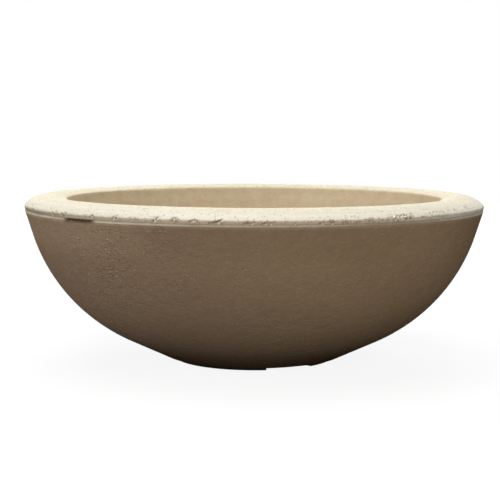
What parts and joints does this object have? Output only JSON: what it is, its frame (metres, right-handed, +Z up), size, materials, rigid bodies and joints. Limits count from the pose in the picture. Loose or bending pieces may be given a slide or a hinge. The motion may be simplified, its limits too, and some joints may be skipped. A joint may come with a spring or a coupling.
{
  "type": "bowl planter",
  "caption": "Wide round bowl planter with a sloping double wall, a domed pitted rim, a seam under the rim, and a floor drain with a lift-out plug.",
  "frame": {"origin": "centre of the bowl, on the floor that the foot pads stand on", "axes": "+Z up along the bowl's axis; -Y is the side that the picture shows, +X to its right"},
  "size_m": [0.686, 0.686, 0.248],
  "materials": {
    "shell_stone": "matte",
    "rim_stone": "matte",
    "seam_glue": "matte",
    "drain_plastic": "satin",
    "gasket_rubber": "matte",
    "black_rubber": "matte"
  },
  "bodies": {
    "planter": {"outer_shell": "shell_stone", "rim_and_liner": "rim_stone", "seam_bead": "seam_glue", "drain_bush": "drain_plastic", "bush_gasket": "gasket_rubber", "bush_washer": "black_rubber", "bush_nut": "drain_plastic", "drain_grid": "drain_plastic", "foot_pads": "black_rubber"},
    "plug": {"drain_plug": "black_rubber"}
  },
  "joints": [
    {"name": "plug_lift", "type": "slide", "parent": "planter", "child": "plug", "axis": [0, 0, 1], "range_m": [0, 0.24]}
  ]
}
